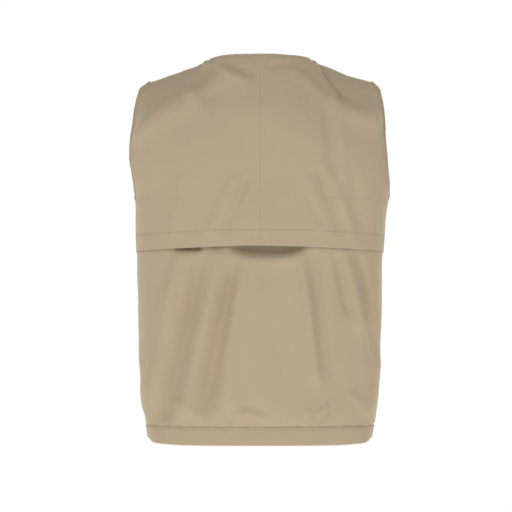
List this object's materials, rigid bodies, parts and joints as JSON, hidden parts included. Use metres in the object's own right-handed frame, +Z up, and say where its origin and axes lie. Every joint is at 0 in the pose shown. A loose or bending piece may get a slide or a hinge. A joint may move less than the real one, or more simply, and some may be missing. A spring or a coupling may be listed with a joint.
{
  "type": "fishing vest",
  "caption": "Sleeveless fishing vest with a vented back cape, zipped V-neck front and flapped bellows pockets, in the shape it has when worn.",
  "frame": {"origin": "middle of the vest's footprint at the hem's lower edge", "axes": "+Z up; the wearer faces -Y, the wearer's left is +X"},
  "size_m": [0.4184, 0.2818, 0.645],
  "materials": {
    "shell": "matte plain weave",
    "trim": "matte bias binding",
    "mesh": "open knit mesh",
    "zip_tape": "woven tape",
    "metal": "antique satin"
  },
  "bodies": {
    "back": {"armhole_binding_left": "trim", "armhole_binding_right": "trim", "back_lower": "shell", "back_mesh": "mesh", "back_yoke_left": "shell", "back_yoke_right": "shell", "front_yoke_left": "shell", "front_yoke_right": "shell", "hanger_loop": "trim", "hem_band_back": "shell", "neck_band": "shell", "neck_label": "mesh", "neckline_facing_left": "trim", "neckline_facing_right": "trim"},
    "cape": {"cape_left": "shell", "cape_right": "shell"},
    "front_left": {"cargo_pocket_face_left": "shell", "cargo_pocket_gusset_left": "shell", "cargo_snap_stud_left": "metal", "chest_pocket_face_left": "shell", "chest_pocket_gusset_left": "shell", "chest_snap_stud_left": "metal", "front_armhole_binding_left": "trim", "front_panel_left": "shell", "hem_band_left": "shell", "tool_tab": "trim", "zip_box": "metal", "zip_tape_left": "zip_tape", "zip_teeth_left": "metal"},
    "front_right": {"cargo_pocket_face_right": "shell", "cargo_pocket_gusset_right": "shell", "cargo_snap_stud_right": "metal", "chest_pocket_face_right": "shell", "chest_pocket_gusset_right": "shell", "chest_snap_stud_right": "metal", "front_armhole_binding_right": "trim", "front_panel_right": "shell", "hem_band_right": "shell", "zip_pin": "metal", "zip_tape_right": "zip_tape", "zip_teeth_right": "metal"},
    "zip_slider": {"zip_slider": "metal"},
    "zip_pull": {"zip_pull": "metal"},
    "tool_ring": {"tool_ring": "metal"},
    "chest_flap_left": {"chest_flap_left": "shell", "chest_snap_cap_left": "metal"},
    "cargo_flap_left": {"cargo_flap_left": "shell", "cargo_snap_cap_left": "metal"},
    "chest_flap_right": {"chest_flap_right": "shell", "chest_snap_cap_right": "metal"},
    "cargo_flap_right": {"cargo_flap_right": "shell", "cargo_snap_cap_right": "metal"}
  },
  "joints": [
    {"name": "front_left_open", "type": "hinge", "parent": "back", "child": "front_left", "pos_m": [0.189, 0.00818, 0], "axis": [0.0471, 0, 0.9989], "range_deg": [0, 35]},
    {"name": "front_right_open", "type": "hinge", "parent": "back", "child": "front_right", "pos_m": [-0.189, 0.00818, 0], "axis": [0.0471, 0, -0.9989], "range_deg": [0, 35]},
    {"name": "cape_lift", "type": "hinge", "parent": "back", "child": "cape", "pos_m": [0, 0.13173, 0.43], "axis": [1, 0, 0], "range_deg": [0, 12], "stiffness_Nm_per_rad": 0.2, "springref_deg": -17.19},
    {"name": "chest_flap_left_lift", "type": "hinge", "parent": "front_left", "child": "chest_flap_left", "pos_m": [0.10069, -0.1145, 0.408], "axis": [-0.977, -0.213, 0], "range_deg": [0, 115]},
    {"name": "cargo_flap_left_lift", "type": "hinge", "parent": "front_left", "child": "cargo_flap_left", "pos_m": [0.12271, -0.10719, 0.236], "axis": [-0.9551, -0.2961, 0], "range_deg": [0, 130]},
    {"name": "chest_flap_right_lift", "type": "hinge", "parent": "front_right", "child": "chest_flap_right", "pos_m": [-0.10069, -0.1145, 0.408], "axis": [-0.977, 0.213, 0], "range_deg": [0, 115]},
    {"name": "cargo_flap_right_lift", "type": "hinge", "parent": "front_right", "child": "cargo_flap_right", "pos_m": [-0.12271, -0.10719, 0.236], "axis": [-0.9551, 0.2961, 0], "range_deg": [0, 130]},
    {"name": "zip_slide", "type": "slide", "parent": "front_left", "child": "zip_slider", "axis": [0, 0, -1], "range_m": [0, 0.45]},
    {"name": "zip_pull_swing", "type": "hinge", "parent": "zip_slider", "child": "zip_pull", "pos_m": [0, -0.12182, 0.477], "axis": [-1, 0, 0], "range_deg": [0, 150]},
    {"name": "tool_ring_swing", "type": "hinge", "parent": "front_left", "child": "tool_ring", "pos_m": [0.09738, -0.11773, 0.447], "axis": [-0.9811, -0.1937, 0], "range_deg": [0, 70]}
  ]
}
